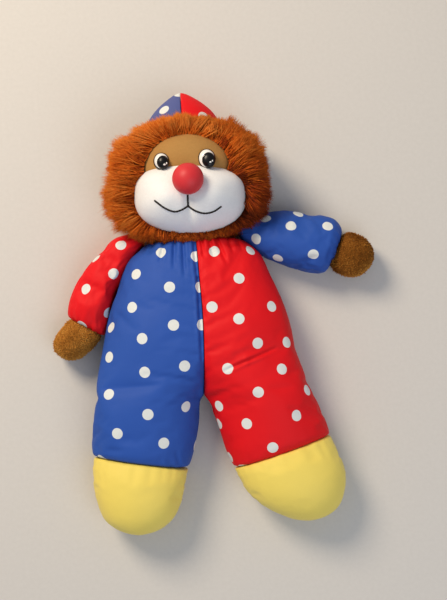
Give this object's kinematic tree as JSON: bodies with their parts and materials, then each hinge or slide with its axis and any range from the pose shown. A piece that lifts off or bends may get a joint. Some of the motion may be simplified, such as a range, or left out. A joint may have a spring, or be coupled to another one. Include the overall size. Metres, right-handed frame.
{
  "type": "hand puppet",
  "caption": "Stuffed clown lion hand puppet with a faux fur mane, ball nose, dotted suit and hat, and a hand pocket in its back, lying on its back.",
  "frame": {"origin": "on the surface that the puppet lies on, under the middle of its outline", "axes": "+Z out of the belly, +Y towards the hat, +X towards the puppet's own left hand"},
  "size_m": [0.285, 0.3792, 0.0962],
  "materials": {
    "blue_dotted_cotton": "matte",
    "red_dotted_cotton": "matte",
    "yellow_cotton": "matte",
    "tan_plush": "matte",
    "white_velour": "matte",
    "mane_fur": "matte",
    "nose_red": "satin",
    "eye_white": "gloss",
    "eye_black": "gloss",
    "washer_plastic": "satin",
    "black_thread": "matte",
    "elastic": "matte",
    "lining_cotton": "matte",
    "tube_card": "matte",
    "fibre_filling": "matte"
  },
  "bodies": {
    "torso": {"body_front_blue": "blue_dotted_cotton", "body_front_red": "red_dotted_cotton", "body_back_blue": "blue_dotted_cotton", "body_back_red": "red_dotted_cotton", "pocket_lining": "lining_cotton", "torso_stuffing": "fibre_filling", "slit_binding": "blue_dotted_cotton"},
    "neck": {"neck_drawstring_band": "elastic"},
    "head": {"forehead": "tan_plush", "muzzle": "white_velour", "head_finger_tube": "tube_card", "head_stuffing": "fibre_filling", "nose_ball": "nose_red", "nose_washer": "washer_plastic", "eye_white_left": "eye_white", "eye_white_right": "eye_white", "eye_pupil_left": "eye_black", "eye_pupil_right": "eye_black", "eye_washer_left": "washer_plastic", "eye_washer_right": "washer_plastic", "mouth_stitch": "black_thread", "mane_ring": "mane_fur", "mane_back": "mane_fur", "hat_panel_blue": "blue_dotted_cotton", "hat_panel_red": "red_dotted_cotton", "hat_stuffing": "fibre_filling"},
    "shoulder_left": {"arm_finger_cup_left": "lining_cotton"},
    "arm_left": {"sleeve_blue": "blue_dotted_cotton", "sleeve_stuffing_left": "fibre_filling", "hand_left": "tan_plush", "hand_stuffing_left": "fibre_filling", "wrist_elastic_left": "elastic"},
    "shoulder_right": {"arm_finger_cup_right": "lining_cotton"},
    "arm_right": {"sleeve_red": "red_dotted_cotton", "sleeve_stuffing_right": "fibre_filling", "hand_right": "tan_plush", "hand_stuffing_right": "fibre_filling", "wrist_elastic_right": "elastic"},
    "leg_left": {"leg_left_red": "red_dotted_cotton", "foot_left": "yellow_cotton", "leg_stuffing_left": "fibre_filling", "foot_stuffing_left": "fibre_filling"},
    "leg_right": {"leg_right_blue": "blue_dotted_cotton", "foot_right": "yellow_cotton", "leg_stuffing_right": "fibre_filling", "foot_stuffing_right": "fibre_filling"}
  },
  "joints": [
    {"name": "head_turn", "type": "hinge", "parent": "torso", "child": "neck", "pos_m": [-0.01785, 0.05762, 0.026], "axis": [0, 1, 0], "range_deg": [-30, 30]},
    {"name": "head_nod", "type": "hinge", "parent": "neck", "child": "head", "pos_m": [-0.01785, 0.05762, 0.026], "axis": [-1, 0, 0], "range_deg": [-17, 15]},
    {"name": "arm_raise_left", "type": "hinge", "parent": "torso", "child": "shoulder_left", "pos_m": [0.03815, 0.06062, 0.0195], "axis": [0, 0, 1], "range_deg": [-42, 33]},
    {"name": "arm_forward_left", "type": "hinge", "parent": "shoulder_left", "child": "arm_left", "pos_m": [0.03815, 0.06062, 0.0195], "axis": [-0.2419, -0.9703, 0], "range_deg": [-10, 60]},
    {"name": "arm_raise_right", "type": "hinge", "parent": "torso", "child": "shoulder_right", "pos_m": [-0.07385, 0.06062, 0.0195], "axis": [0, 0, -1], "range_deg": [0, 75]},
    {"name": "arm_forward_right", "type": "hinge", "parent": "shoulder_right", "child": "arm_right", "pos_m": [-0.07385, 0.06062, 0.0195], "axis": [-0.829, 0.5592, 0], "range_deg": [-10, 60]},
    {"name": "leg_swing_left", "type": "hinge", "parent": "torso", "child": "leg_left", "pos_m": [0.02815, -0.05538, 0.038], "axis": [-1, 0, 0], "range_deg": [-15, 80]},
    {"name": "leg_swing_right", "type": "hinge", "parent": "torso", "child": "leg_right", "pos_m": [-0.06385, -0.05538, 0.038], "axis": [-1, 0, 0], "range_deg": [-15, 80]}
  ]
}
